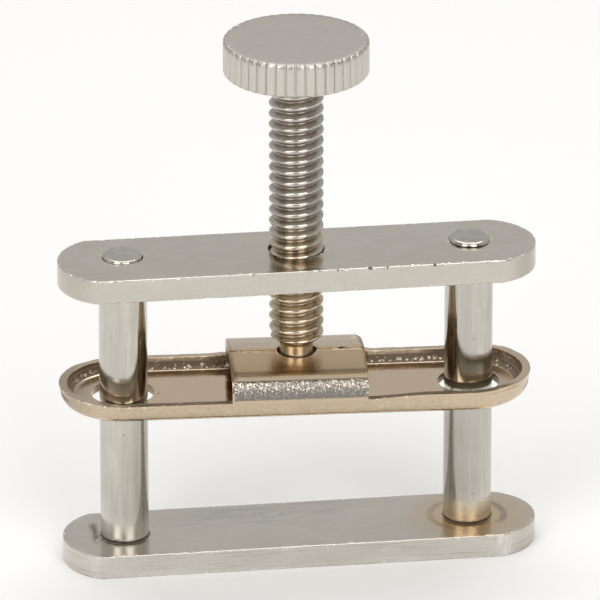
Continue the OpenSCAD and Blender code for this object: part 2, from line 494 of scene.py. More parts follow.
def ripple(made, depth, scale, seed):
    """Makes the whole surface faintly wavy."""
    mesh = made.data
    normals = [v.normal.copy() for v in mesh.vertices]
    for v, normal in zip(mesh.vertices, normals):
        wave = noise.noise(v.co / MM * scale + Vector((seed, seed, 0)))
        v.co -= normal * (depth * MM * (0.5 + 0.5 * wave))


print("wear helpers ready")

# %% [markdown]
# ## Bars
# Each bar is a sheared blank with round ends. It is drilled for the posts, and countersunk
# on the outer side, where the posts' ends are riveted over. The top bar also has the bore
# that the screw turns in.

# %% Bar sizes
STATION = 0.2
BORE_STATIONS = 112
EDGE_ROUND = 0.08
hole_radius = 1.77
countersink = 0.13
bore_radius = 2.60
bore_bevel = 0.03
# How far each end is from a half circle: the left one was cropped blunter
left_bluntness, right_bluntness = 0.7, 0.25


def blunt_end(x, y, from_middle):
    """Makes a bar's end a little blunter than a half circle. It meets the flats in a crease."""
    radius, extra = bar_width / 2, right_bluntness if x > 0 else left_bluntness
    u = (abs(x) - (bar_length / 2 - radius)) * radius / from_middle
    if u <= 0 or u > radius - 1e-6:
        return y
    ratio = math.sqrt(((radius + extra) ** 2 - (u + extra) ** 2) / (radius ** 2 - u ** 2))
    return math.copysign(min(from_middle, abs(y) * ratio), y)


print("bores of", 2 * hole_radius, "and", 2 * bore_radius, "mm")

# %% [markdown]
# The outline's rows go over the rounded edges and down the side. The bores have walls of
# their own, and the two flat faces are filled between them.

# %% Bars
def make_bar(name, low, high, wide_side, bores, seed, off_centre=0, forward=0):
    """low and high are the heights of its faces, and wide_side the one with the countersinks.
    A bore is (x, radius, bevel at its countersunk side). The blank may lie off centre."""
    radius, straight = bar_width / 2, bar_length - bar_width
    bm = bmesh.new()
    inner = radius - 0.9
    upper = line((inner, high), (radius - EDGE_ROUND, high), 0.2)
    upper += arc((radius - EDGE_ROUND, high - EDGE_ROUND), EDGE_ROUND, 90, 0, 4)
    lower = [(d, low + high - z) for d, z in reversed(upper)]
    side = line((radius, high - EDGE_ROUND), (radius, low + EDGE_ROUND), 0.16)[1:]
    rings = sweep(bm, upper + side + lower, stadium(straight, radius, STATION))
    for ring, (distance, _) in zip(rings, upper + side + lower):
        for v in ring:
            v.co.y = blunt_end(v.co.x, v.co.y, distance)
            v.co.x += off_centre
            v.co.y -= forward
    rows_to_faces(bm, rings)
    walls = []
    for x, r, bevel in bores:
        mouth = high if wide_side > 0 else low
        plain = low + high - mouth
        section = [(r + 0.7, mouth), (r + bevel + 0.2, mouth), (r + bevel, mouth),
                   (r, mouth - wide_side * bevel), (r, plain), (r + 0.2, plain), (r + 0.7, plain)]
        if wide_side < 0:
            section.reverse()
        walls.append(swept_wall(bm, section, circle(BORE_STATIONS, x)))

    def inside(x, y):
        beside = math.hypot(max(0, abs(x - off_centre) - straight / 2), y + forward)
        return beside < inner - 0.3 and all(math.hypot(x - b[0], y) > b[1] + 1 for b in bores)

    for z, ring, index in ((high, rings[0], 0), (low, rings[-1], -1)):
        fill_flat(bm, [ring] + [wall[index] for wall in walls], 0.6, inside, lambda x, y: z)
    made = to_object(name, bm)
    ripple(made, depth=0.02, scale=0.25, seed=seed)
    mark_edges(made, reach=0.3)
    knock_edges(made, depth=0.09, scale=2.8, amount=0.36, seed=seed)
    smooth(made)
    return made


tenon_bores = [(side * post_spacing / 2, hole_radius, countersink) for side in (-1, 1)]
base_bar = make_bar("base_bar_worn", 0, base_top, -1, tenon_bores, seed=3.1, off_centre=0.3)
top_bores = tenon_bores + [(0, bore_radius, bore_bevel)]
top_bar = make_bar("top_bar_worn", top_low.z, top_high.z, 1, top_bores, seed=11.7,
                   forward=bar_forward)
for bar in (base_bar, top_bar):
    print(bar.name, len(bar.data.polygons), "faces")

# %% [markdown]
# ## Posts
# A post is turned: a shank between two shoulders, and a thinner tenon at each end that
# passes through a bar. The end of each tenon is hammered over. The left rivet is nearly
# flush, and the right one stands proud.

# %% Hammered ends
tenon_radius = 1.75
post_bevel = 0.15
POST_STATIONS = 144
# How much a hammer blow flattens, how much it draws in, and how oval the rivet gets
FLATTENED, DRAWN_IN, OVAL = 0.16, 0.05, 1.1
left_rivet_back, right_rivet_forward = 0.25, 0.2


def hammer(made, seat, tip, seed):
    """Beats the rivet above the bar out of round, with flats and hollows on its top."""
    for v in made.data.vertices:
        if v.co.z / MM > seat + 0.02:
            place = v.co / MM
            share = (place.z - seat) / (tip - seat)
            blow = 0.5 + 0.5 * noise.noise(place * 1.3 + Vector((seed, 0, 0)))
            v.co.z -= MM * share * (tip - seat) * FLATTENED * blow
            push = 1 - DRAWN_IN * share * (0.5 + 0.5 * noise.noise(place * 0.9 + Vector((0, seed, 0))))
            centre = math.copysign(post_spacing / 2, place.x) * MM
            v.co.x = centre + (v.co.x - centre) * push
            v.co.y *= push
        if v.co.z / MM > seat - 0.01:
            shift = left_rivet_back if v.co.x < 0 else -right_rivet_forward
            v.co.y = v.co.y * OVAL + shift * MM


print("rivets flattened by up to", FLATTENED, "of their height")

# %% [markdown]
# The section starts and ends on the axis, so that the post is closed. Small steps beside the
# shoulders keep the shading crisp there.

# %% Posts
def make_post(name, side, seed):
    low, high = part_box("left_post" if side < 0 else "right_post")
    rivet_radius = 1.84 if side < 0 else 1.88
    tip = high.z / MM + (bar_lift if side < 0 else 0)
    under, over = base_top, top_low.z
    proud = tip - top_high.z
    edge = min(proud, 0.39) * 0.8
    waist = post_radius - 0.04
    section = line((0, 0), (rivet_radius - 0.04, 0), 0.3)
    section += [(rivet_radius, 0.04), (tenon_radius, 0.2)]
    section += [(tenon_radius, under), (post_radius - post_bevel, under), (waist, under + 0.07)]
    section += line((post_radius, under + post_bevel), (post_radius, over - post_bevel), 0.3)
    section += [(post_radius, over - post_bevel), (waist, over - 0.07)]
    section += [(post_radius - post_bevel, over)]
    section += [(tenon_radius, over), (tenon_radius, top_high.z - 0.13)]
    if side < 0:
        section += [(rivet_radius, top_high.z)]
    else:
        section += [(rivet_radius - 0.1, top_high.z), (rivet_radius, top_high.z + 0.08)]
    section += arc((rivet_radius - edge, tip - edge), edge, 0, 90, 6)
    section += line((rivet_radius - edge, tip), (0, tip), 0.18)[1:] + [(0, tip)]
    bm = bmesh.new()
    swept_wall(bm, section, circle(POST_STATIONS, side * post_spacing / 2))
    made = to_object(name, bm)
    hammer(made, top_high.z, tip, seed)
    smooth(made)
    return made


left_post = make_post("left_post_worn", -1, seed=5.3)
right_post = make_post("right_post_worn", 1, seed=8.9)
for post in (left_post, right_post):
    mark_edges(post, reach=0.35)
    print(post.name, len(post.data.polygons), "faces")

# %% [markdown]
# ## Jaw
# The jaw is pressed from one sheet. Its floor bends up into a rim that leans outwards all
# round. In the middle the rims go on upwards, bend over and meet in a seam, as a hood that
# closes round the screw's neck. Tray and hood share the same rows of points, so that the
# metal runs through from one to the other without a joint.

# %% Jaw section
sheet = 0.77
rim_height = 1.85
rim_lean = 12
floor_bend = 0.35
inner_bend_radius = 0.95
jaw_length, jaw_width = 44.0, 12.2
hood_length = 12.6
seam_half = 0.04
guide_radius = 2.90
GUIDE_STATIONS = 96
neck_hole = 1.85
# The jaw has turned through most of the play in its guide holes, and hangs down at its right
guide_play, play_taken = 1.3, 0.85
swing, tilt = math.asin(play_taken * guide_play / post_spacing), math.radians(0.5)
jaw_z = 15.55
lean = math.radians(rim_lean)
floor_outer = floor_bend + sheet
floor_half = (jaw_width / 2 - floor_outer * math.cos(lean)
              - (rim_height - floor_outer * (1 - math.sin(lean))) * math.tan(lean))

# Each side of the hood: foot above the rim, outside radius of the bend, rise of the flap
FRONT, REAR = (0.4, 0.83 + sheet, math.radians(4)), (0.1, 0.65 + sheet, math.radians(11))


def rim_point(z, depth):
    return (jaw_width / 2 + (z - rim_height) * math.tan(lean) - depth / math.cos(lean), z)


def bend_centre(form):
    foot, radius, _ = form
    y, z = rim_point(rim_height + foot, 0)
    return y - radius * math.cos(lean), z + radius * math.sin(lean)


def flap_height(form, y, depth):
    """Height of a flap's surface at a distance y from the middle, at a depth below its outer face."""
    _, radius, rise = form
    centre = bend_centre(form)
    return centre[1] + (radius - depth) / math.cos(rise) + (centre[0] - abs(y)) * math.tan(rise)


for form in (FRONT, REAR):
    print(f"a flap is {flap_height(form, seam_half, 0):.3f} mm over the jaw's underside at the seam")

# %% [markdown]
# The sheet has an outer and an inner face. Both follow the same section, at a depth of 0 and
# at a depth of the sheet's thickness.

# %% Tray and hood in section
def tray_side(depth):
    """From the floor to the rim's edge, at a depth below the outer face."""
    bend = inner_bend_radius if depth else floor_outer
    centre = rim_point(depth + bend, depth + bend)
    points = line((floor_half - 0.8, depth), (centre[0], depth), 0.17)
    points += arc(centre, bend, -90, -rim_lean, 9)
    top = rim_point(rim_height, depth)
    return points + line(points[-1], top, 0.12)[1:] + [top]


def hood_side(form, depth, steps):
    """From the rim's edge over the bend, to where the flap begins."""
    _, radius, rise = form
    return arc(bend_centre(form), radius - depth, -rim_lean, 90 - math.degrees(rise), steps)


print("points across the tray's side:", len(tray_side(0)), "outside,", len(tray_side(sheet)), "inside")

# %% [markdown]
# The press left the jaw a little askew. These are the largest offsets, in millimetres, but
# the hood's skew is a slope.

# %% What the press left askew
rear_rim_drop, right_rim_rise = 0.10, 0.28
right_end_rise, left_end_drop = 0.08, 0.10
hood_skew, end_shift = 0.037, 0.13


def soft_step(value, low, high):
    share = max(0, min(1, (value - low) / (high - low)))
    return share * share * (3 - 2 * share)


def strain(place):
    """Moves a point for a skewed hood, a rim that is lower behind and higher at the right, and
    ends that are bent up or down a little."""
    along, rim = abs(place.x), soft_step(place.z, 0.8, 1.8)
    outside = soft_step(along, hood_length / 2 + 0.3, hood_length / 2 + 1.3)
    place.z -= rear_rim_drop * outside * soft_step(place.y, 4.3, 5.3) * rim
    place.z += right_rim_rise * outside * soft_step(place.x - 0.65 * place.y, 9.5, 15.5) * rim
    place.z += soft_step(along, 14, 22) * (right_end_rise if place.x > 0 else -left_end_drop)
    place.x += hood_skew * place.y * (1 - soft_step(along, 6.6, 8.2))
    place.x -= end_shift * soft_step(along, 15, 22)


print("the right end is", right_end_rise + left_end_drop, "mm higher than the left one")

# %% [markdown]
# The tray is swept along a stadium, with the guide holes in its floor. Where the hood rises,
# the rim's top is left open, so that a flap can grow from it.

# %% Tray
def make_jaw(name):
    bm = bmesh.new()
    straight, half = jaw_length - jaw_width, hood_length / 2
    outer, inner = tray_side(0), tray_side(sheet)
    middle = ((outer[-1][0] + inner[-1][0]) / 2, rim_height)
    section = outer + [middle] + inner[::-1]
    stations = stadium(straight, floor_half + 1, 0.22, marks=(-half, half))
    rings = sweep(bm, section, stations)

    def in_hood(station):
        pair = stations[station], stations[(station + 1) % len(stations)]
        straight_side = any(out[0] == 0 for _, out in pair)
        return straight_side and max(abs(foot[0]) for foot, _ in pair) < half + 1e-6

    crown = len(outer) - 1
    rows_to_faces(bm, rings, lambda ring, station: crown <= ring < crown + 2 and in_hood(station))
    walls = []
    hole = [(guide_radius + away, 0) for away in (0.4, 0.15, 0)]
    hole += [(radius, sheet) for radius, _ in reversed(hole)]
    for side in (-1, 1):
        walls.append(swept_wall(bm, hole, circle(GUIDE_STATIONS, side * post_spacing / 2)))

    def on_floor(x, y):
        beside = math.hypot(max(0, abs(x) - straight / 2), y)
        clear = all(math.hypot(x - side * post_spacing / 2, y) > guide_radius + 0.7 for side in (-1, 1))
        return beside < floor_half - 1.1 and clear

    for z, ring, index in ((0, rings[0], 0), (sheet, rings[-1], -1)):
        fill_flat(bm, [ring] + [wall[index] for wall in walls], 0.7, on_floor, lambda x, y: z)
    for side in (-1, 1):
        add_flap(bm, rings, stations, crown, side, half)
    unused = [v for v in bm.verts if not v.link_faces]
    bmesh.ops.delete(bm, geom=unused, context="VERTS")
    for v in bm.verts:
        strain(v.co)
    turn = Matrix.Rotation(-swing, 3, "Z") @ Matrix.Rotation(tilt, 3, "Y")
    bmesh.ops.rotate(bm, verts=bm.verts, cent=(0, 0, 0), matrix=turn)
    bmesh.ops.translate(bm, verts=bm.verts, vec=(0, 0, jaw_z))
    return to_object(name, bm)


print("the tray has", len(stadium(jaw_length - jaw_width, floor_half + 1, 0.22)), "stations or more")

# %% [markdown]
# Each side of the hood goes on from the rim's own points, over the bend to the seam. Its cut
# edge follows the seam and goes round the hole for the screw's neck.

# %% Hood
def add_flap(bm, rings, stations, crown, side, half):
    """Bend and flap of one side of the hood, grown out of the rim's two top rows."""
    columns = [i for i, (foot, out) in enumerate(stations)
               if out == (0, side) and abs(foot[0]) < half + 1e-6]
    columns.sort(key=lambda i: stations[i][0][0])
    form = REAR if side > 0 else FRONT
    xs = [stations[i][0][0] for i in columns]
    rows = {}
    for face, depth, ring in (("out", 0, crown), ("in", sheet, crown + 2)):
        rows[face] = [[rings[ring][i] for i in columns]]
        for y, z in hood_side(form, depth, 12):
            places = [(cut_corner(x, y, side, half), side * y, z) for x in xs]
            rows[face].append([bm.verts.new(place) for place in places])
    for face in rows.values():
        for low, high in zip(face, face[1:]):
            for k in range(len(xs) - 1):
                bm.faces.new((low[k], low[k + 1], high[k + 1], high[k]))
    for k in (0, -1):
        edge = rings[crown + 1][columns[k]]
        bm.faces.new([rows["out"][0][k], edge, rows["in"][0][k], rows["in"][1][k], rows["out"][1][k]])
        for j in range(1, len(rows["out"]) - 1):
            corners = ("out", j), ("in", j), ("in", j + 1), ("out", j + 1)
            bm.faces.new([rows[face][row][k] for face, row in corners])
    # The cut edge, from one end of the bend to the other
    end = rows["in"][-1][0].co.y
    notch = math.sqrt(neck_hole ** 2 - seam_half ** 2)
    path = line((-half, abs(end)), (-half, seam_half), 0.3)[1:]
    path += line((-half, seam_half), (-notch, seam_half), 0.25)
    mirrored = [(-x, y) for x, y in reversed(path)]
    start = math.degrees(math.atan2(seam_half, -notch))
    path += arc((0, 0), neck_hole, start, 180 - start, 40) + mirrored
    cut = {}
    for face, depth in (("out", 0), ("in", sheet)):
        cut[face] = [bm.verts.new((cut_corner(x, y, side, half), side * y, flap_height(form, y, depth)))
                     for x, y in path]
        loop = rows[face][-1][::-1] + cut[face]

        def on_flap(x, y):
            beside_seam = seam_half + 0.3 < abs(y) < abs(rows[face][-1][0].co.y) - 0.3
            return abs(x) < half - 1 and beside_seam and math.hypot(x, y) > neck_hole + 0.3

        fill_flat(bm, [loop], 0.5, on_flap, lambda x, y: flap_height(form, y, depth))
    for k in range(len(path) - 1):
        bm.faces.new([cut["out"][k], cut["in"][k], cut["in"][k + 1], cut["out"][k + 1]])
    for k, j in ((0, 0), (-1, -1)):
        bm.faces.new([rows["out"][-1][k], rows["in"][-1][k], cut["in"][j], cut["out"][j]])


def cut_corner(x, y, side, half):
    """Draws the last stations in where one corner of the rear flap is cut round."""
    corner_cut, corner_reach = 0.55, 2
    share = max(0, min(1, (y - 2.6) / 2.85))
    if side < 0 or x < half - corner_reach:
        return x
    return x - corner_cut * share ** 2.6 * (x - (half - corner_reach)) / corner_reach


jaw = make_jaw("moving_jaw_worn")
bevel_edges(jaw, width=0.07)
mark_edges(jaw, reach=0.35)
knock_edges(jaw, depth=0.07, scale=1.3, amount=0.4, seed=2.2)
smooth(jaw)
print(jaw.name, len(jaw.data.polygons), "faces")

# %% [markdown]
# ## Thumbscrew
# The thread is a ribbon that winds up round the screw. Its points lie along the helix, so a
# few rows make a crisp crest. A grid is made flat, then a Geometry Nodes tree rolls it up:
# along the grid is the turn, and across it is the thread's profile. Both ends are pressed
# flat, so that the neck and the head can be joined on.

# %% Geometry trees
SEGMENTS = 96
FLANK = math.radians(58)


def finished(tree, geometry, material):
    """Ends a geometry tree: real geometry, merged into a closed surface, with its material."""
    real = put(tree, "GeometryNodeRealizeInstances", {"Geometry": geometry})
    merged = put(tree, "GeometryNodeMergeByDistance", {"Geometry": real, "Distance": 0.000002})
    return put(tree, "GeometryNodeSetMaterial", {"Geometry": merged, "Material": material})


def grow(name, tree, values):
    """Runs a geometry tree on an empty mesh, with its inputs set by their identifiers."""
    made = bpy.data.objects.new(name, bpy.data.meshes.new(name))
    scene.collection.objects.link(made)
    modifier = made.modifiers.new("nodes", "NODES")
    modifier.node_group = tree
    for item in tree.interface.items_tree:
        if item.in_out == "INPUT" and item.name in values:
            modifier[item.identifier] = values[item.name]
    bake_modifiers(made)
    print(name, len(made.data.polygons), "faces")
    return made


print("each turn of the thread has", SEGMENTS, "segments")

# %% [markdown]
# The profile is worked out from the distance to the nearest root and crest. Each of them is
# an arc that meets the straight flank at a tangent.

# %% Thread profile and winding
def rounding(distance, radius):
    """How far an arc has dropped at a distance from its top, and its reach up to the flank."""
    reach = radius * math.sin(FLANK)
    along = distance.math("MINIMUM", reach)
    return radius - (radius * radius - along * along).math("SQRT"), reach


def screw_thread(tree, given):
    """Rolls a grid into a right-hand thread between two heights, chamfered at its lower end."""
    low, turns = given["Lower End"], given["Turns"]
    counts = {"Vertices X": turns * given["Segments"] + 1.0, "Vertices Y": given["Rows"] + 1.0}
    grid = put(tree, "GeometryNodeMeshGrid", counts)
    place = put(tree, "GeometryNodeInputPosition")
    along, across = put(tree, "ShaderNodeSeparateXYZ", {0: place}, (0, 1))
    turn = (along + 0.5) * turns
    angle = turn * (2 * math.pi)
    climbed = (across + turn - 0.5) * given["Pitch"] + low
    z = climbed.math("MAXIMUM", low).math("MINIMUM", given["Upper End"])

    # The profile: round crest, straight flank, round root
    phase = ((z - low) / given["Pitch"] - (turn + given["Start"])).math("FRACT")
    half = given["Pitch"] * 0.5
    from_root = (1.0 - abs(phase * 2.0 - 1.0)) * half
    from_crest = half - from_root
    crest, crest_reach = rounding(from_crest, given["Crest Round"])
    root, root_reach = rounding(from_root, given["Root Round"])
    beyond = (from_crest - crest_reach).math("MAXIMUM", 0.0)
    flank = beyond.math("MINIMUM", half - crest_reach - root_reach) * math.tan(FLANK)
    root_depth = given["Root Round"] * (1 - math.cos(FLANK))
    thread = given["Crest Radius"] - (crest + flank + (root_depth - root))

    radius = thread.math("MINIMUM", (z - low) * 1.3 + given["Chamfer Radius"])
    position = {0: radius * angle.math("COSINE"), 1: radius * angle.math("SINE"), 2: z}
    position = put(tree, "ShaderNodeCombineXYZ", position)
    rolled = put(tree, "GeometryNodeSetPosition", {"Geometry": grid, "Position": position})
    return finished(tree, rolled, given["Material"])


print("flanks stand", round(90 - math.degrees(FLANK)), "degrees from square to the axis")

# %% [markdown]
# The thread's sizes are inputs of the tree, so other threads can be made with it.

# %% Thread by Geometry Nodes
lengths = ("Pitch", "Start", "Crest Radius", "Crest Round", "Root Round", "Chamfer Radius",
           "Lower End", "Upper End")
thread_inputs = {label: FLOAT for label in lengths}
thread_inputs |= {"Turns": COUNT, "Segments": COUNT, "Rows": COUNT, "Material": "NodeSocketMaterial"}
thread_group = make_group("screw_thread", "GeometryNodeTree", thread_inputs,
                          ("Geometry", "NodeSocketGeometry"), screw_thread)

screw_finish = bpy.data.materials.new("screw_nickel")
shank_low, head_low = 21.0, 47.68
screw_radius = 2.55
thread = grow("thread", thread_group, {
    "Pitch": pitch * MM, "Start": 0.41, "Crest Radius": screw_radius * MM,
    "Crest Round": 0.22 * MM, "Root Round": 0.13 * MM, "Chamfer Radius": 1.6 * MM,
    "Lower End": shank_low * MM, "Upper End": (head_low + 0.3) * MM,
    "Turns": math.ceil((head_low - shank_low) / pitch) + 2, "Segments": SEGMENTS, "Rows": 22,
    "Material": screw_finish})

# %% [markdown]
# The head's edge is straight knurled: forty-four narrow grooves with broad crowned ridges.
# One ridge is modelled as a slice of the head, and a second tree repeats the slice round
# the axis. Neighbouring slices share their cut sides, so they merge into one closed head.

# %% One slice of the head
KNURLS = 44
groove_depth, groove_width, ridge_crown = 0.09, 0.2, 0.05
head_radius, head_high = (screw_high.x - screw_low.x) / 2 + 0.05, screw_high.z - 0.26


def head_slice():
    """One ridge of the head, from the middle of one groove to the middle of the next."""
    section = [(0, head_low), (2.2, head_low), (4.4, head_low), (5.9, head_low)]
    lower = (0.34, 0), (0.24, 0.04), (0.1, 0.14)
    upper = (0.03, 0.12), (0.1, 0.03), (0.18, 0)
    section += [(head_radius - cut, head_low + up) for cut, up in lower]
    section += line((head_radius, head_low + 0.26), (head_radius, head_high - 0.24), 0.3)
    section += [(head_radius - cut, head_high - down) for cut, down in upper]
    section += line((5.9, head_high), (0, head_high), 0.6) + [(0, head_high)]
    shares = [0, 0.04, 0.08, 0.12, 0.16, 0.2, 0.27, 0.35, 0.5]
    shares += [1 - s for s in reversed(shares[:-1])]
    bm = bmesh.new()
    rings = []
    for radius, z in section:
        reach = max(0, min(1, (radius - head_radius + 0.30) / 0.2))
        ring = []
        for share in shares:
            groove = max(0, 1 - (min(share, 1 - share) / groove_width) ** 2) ** 1.5
            crown = ridge_crown * (2 * share - 1) ** 2
            r = radius - (groove_depth * groove + crown) * reach
            turn = 2 * math.pi / KNURLS * share
            ring.append(bm.verts.new((r * math.cos(turn), r * math.sin(turn), z)))
        rings.append(ring)
    for low, high in zip(rings, rings[1:]):
        for i in range(len(shares) - 1):
            bm.faces.new((low[i], low[i + 1], high[i + 1], high[i]))
    return to_object("head_slice", bm)


one_slice = head_slice()
print("a slice has", len(one_slice.data.polygons), "faces")

# %% [markdown]
# The second tree puts a copy of the slice on each of a row of points, turned by its number.

# %% Head by Geometry Nodes
def knurled_head(tree, given):
    """Repeats a slice round the axis."""
    points = put(tree, "GeometryNodePoints", {"Count": given["Count"]})
    turn = put(tree, "GeometryNodeInputIndex") / given["Count"] * (2 * math.pi)
    turn = put(tree, "ShaderNodeCombineXYZ", {2: turn})
    shape = put(tree, "GeometryNodeObjectInfo", {"Object": given["Slice"]}, "Geometry")
    copies = {"Points": points, "Instance": shape, "Rotation": turn}
    copies = put(tree, "GeometryNodeInstanceOnPoints", copies)
    return finished(tree, copies, given["Material"])


head_inputs = {"Slice": "NodeSocketObject", "Count": COUNT, "Material": "NodeSocketMaterial"}
head_group = make_group("knurled_head", "GeometryNodeTree", head_inputs,
                        ("Geometry", "NodeSocketGeometry"), knurled_head)
head = grow("head", head_group, {"Slice": one_slice, "Count": KNURLS, "Material": screw_finish})
bpy.data.objects.remove(one_slice)

# %% [markdown]
# Below the thread, the screw is turned down to a neck, with a button left on its end. The
# neck, the button and a cap inside the head close the thread, and then head and shank are
# one piece, as on the real screw.

# %% Neck, button and joining
def make_thumbscrew():
    neck, button, low = 1.55, 2.25, screw_low.z
    high = low + 2.0
    section = [(1.6, shank_low), (neck, shank_low - 0.1)]
    section += line((neck, shank_low - 0.1), (neck, high), 0.3)[1:]
    section += [(neck, high), (button - 0.2, high)]
    section += arc((button - 0.2, high - 0.2), 0.2, 90, 0, 4)
    section += arc((button - 0.2, low + 0.2), 0.2, 0, -90, 4)
    section += [(1, low), (0, low)]
    bm = bmesh.new()
    bm.from_mesh(thread.data)
    bmesh.ops.transform(bm, matrix=Matrix.Scale(1 / MM, 4), verts=bm.verts)
    swept_wall(bm, section, circle(SEGMENTS))
    bmesh.ops.remove_doubles(bm, verts=bm.verts, dist=0.001)
    rim = [e for e in bm.edges if e.is_boundary and e.verts[0].co.z > head_low]
    bmesh.ops.contextual_create(bm, geom=rim)
    for v in bm.verts:
        if v.co.z > shank_low + 0.4 and v.co.z < head_low:
            wear = noise.noise(v.co * 1.4) * 0.012 + noise.noise(v.co * 6) * 0.008
            v.co.xy *= 1 - (0.012 + wear) / screw_radius
    made = to_object("thumbscrew_worn", bm)
    joined = bmesh.new()
    joined.from_mesh(made.data)
    joined.from_mesh(head.data)
    bmesh.ops.recalc_face_normals(joined, faces=joined.faces)
    joined.to_mesh(made.data)
    joined.free()
    made.data.materials.append(screw_finish)
    for old in (thread, head):
        bpy.data.objects.remove(old)
    return made


screw = make_thumbscrew()
mark_edges(screw, reach=0.25, sharp_degrees=30)
smooth(screw)
print(screw.name, len(screw.data.polygons), "faces")

# %% [markdown]
# ## Finishes
# All pieces are nickel plated steel, so one set of effects serves them all. Each effect is a
# group: fine lines left by a belt or a lathe, stains that have crept over the plating, pits
# where it has gone through, and scratches. Coordinates are millimetres of the piece itself.

# %% Shared effect groups
def draw_lines(tree, given):
    """A noise stretched along the direction in which the metal was worked."""
    place = vector_math(tree, "MULTIPLY", given["Vector"], given["Stretch"])
    inputs = {"Vector": place, "Scale": 1.0, "Detail": given["Detail"], "Roughness": 0.62}
    return put(tree, "ShaderNodeTexNoise", inputs)


def draw_stains(tree, given):
    """Where a warped noise is above a level, with an edge of some softness."""
    place = vector_math(tree, "MULTIPLY", given["Vector"], given["Stretch"])
    inputs = {"Vector": place, "Scale": 1.0, "Detail": 7.0, "Roughness": 0.62, "Distortion": 0.6}
    cloud = put(tree, "ShaderNodeTexNoise", inputs)
    return cloud.ramp(given["Level"], given["Level"] + given["Softness"])


def draw_pits(tree, given):
    """One pit in some of the cells of a Voronoi texture, each of its own size."""
    warp = {"Vector": given["Vector"], "Scale": 4.0, "Detail": 2.0}
    warp = put(tree, "ShaderNodeTexNoise", warp, "Color")
    warp = vector_math(tree, "MULTIPLY", warp, (0.25, 0.25, 0.25))
    place = vector_math(tree, "ADD", given["Vector"], warp)
    cells = {"Vector": place, "Scale": given["Scale"]}
    away, colour = put(tree, "ShaderNodeTexVoronoi", cells, ("Distance", "Color"))
    chance, growth = put(tree, "ShaderNodeSeparateColor", {0: colour}, (0, 1))
    size = given["Size"] * (growth + 0.4)
    return away.ramp(size, size * 0.5) * chance.math("LESS_THAN", given["Share"])


def draw_scratches(tree, given):
    """Thin crests of a noise that is stretched along X and turned about Z."""
    turned = put(tree, "ShaderNodeMapping", {"Vector": given["Vector"], "Rotation": given["Turn"]})
    place = vector_math(tree, "MULTIPLY", turned, given["Stretch"])
    waves = {"Vector": place, "Scale": 1.0, "Detail": 2.0, "Roughness": 0.5}
    return abs(put(tree, "ShaderNodeTexNoise", waves) - 0.5).ramp(given["Width"], 0.0)


def effect_group(name, build, **inputs):
    inputs = {"Vector": (0, 0, 0), **inputs}
    return make_group(name, "ShaderNodeTree", inputs, ("Mask", FLOAT), build)


EVEN = (1, 1, 1)
GROUPS = {
    "lines": effect_group("fine_lines", draw_lines, Stretch=EVEN, Detail=4),
    "stain": effect_group("stain", draw_stains, Stretch=EVEN, Level=0.5, Softness=0.1),
    "pits": effect_group("pits", draw_pits, Scale=1.0, Share=0.3, Size=0.2),
    "scratches": effect_group("scratches", draw_scratches, Turn=(0, 0, 0),
                              Stretch=(0.15, 3, 3), Width=0.01)}

# %% [markdown]
# A finish is painted in layers, as it came about: bare plating first, then what dulled,
# stained, pitted and wore it. Each layer has a mask, and changes the colour, the roughness
# and how metallic the surface is. The heights of all layers end in one Bump node.

# %% Layers of a finish
class Finish:
    """A metal material, painted in layers."""

    def __init__(self, material, colour, roughness, height=0.0, turn=(0, 0, 0)):
        """Coordinates start at a height, and are turned back by the piece's own turn."""
        self.material = material
        material.use_nodes = True
        self.tree = tree = material.node_tree
        place = put(tree, "ShaderNodeTexCoord", out="Object")
        place = put(tree, "ShaderNodeVectorMath", {0: place, "Scale": 1000.0}, operation="SCALE")
        place = vector_math(tree, "SUBTRACT", place, (0, 0, height))
        self.mm = put(tree, "ShaderNodeMapping", {"Vector": place, "Rotation": turn})
        self.x, self.y, self.z = put(tree, "ShaderNodeSeparateXYZ", {0: self.mm}, (0, 1, 2))
        self.edge = put(tree, "ShaderNodeAttribute", out="Fac", attribute_name="edge")
        self.colour = put(tree, "ShaderNodeRGB")
        self.colour.socket.default_value = (*colour, 1)
        self.roughness, self.metallic, self.height = roughness, 1.0, 0.0

    def effect(self, kind, offset=0.0, **values):
        """Places a shared group. offset takes it to another part of its pattern."""
        place = vector_math(self.tree, "ADD", self.mm, (offset,) * 3) if offset else self.mm
        return put(self.tree, "ShaderNodeGroup", {"Vector": place, **values}, node_tree=GROUPS[kind])

    def from_axis(self, x, y=0.0):
        """Distance in millimetres from an upright axis."""
        flat = put(self.tree, "ShaderNodeCombineXYZ", {0: self.x, 1: self.y})
        return vector_math(self.tree, "DISTANCE", flat, (x, y, 0), "Value")

    def paint(self, mask, colour=None, roughness=None, metallic=None, blend="MIX"):
        """A layer that changes what it names, as far as the mask is above 0."""
        if colour is not None:
            self.colour = mix(self.tree, mask, self.colour, colour, blend)
        if roughness is not None:
            self.roughness = mix(self.tree, mask, self.roughness, roughness)
        if metallic is not None:
            self.metallic = mix(self.tree, mask, self.metallic, metallic)

    def emboss(self, value, millimetres):
        """Raises the surface by a height, or sinks it if that is negative."""
        self.height = value.math("MULTIPLY_ADD", millimetres, self.height)

    def done(self):
        """Wires the layers to the shader, and returns the material."""
        shader = self.tree.nodes["Principled BSDF"]
        relief = {"Height": self.height, "Strength": 1.0, "Distance": MM}
        relief = put(self.tree, "ShaderNodeBump", relief)
        for name, value in (("Base Color", self.colour), ("Roughness", self.roughness),
                            ("Metallic", self.metallic), ("Normal", relief)):
            wire(self.tree, shader.inputs[name], value)
        print("finish:", self.material.name, len(self.tree.nodes), "nodes")
        return self.material


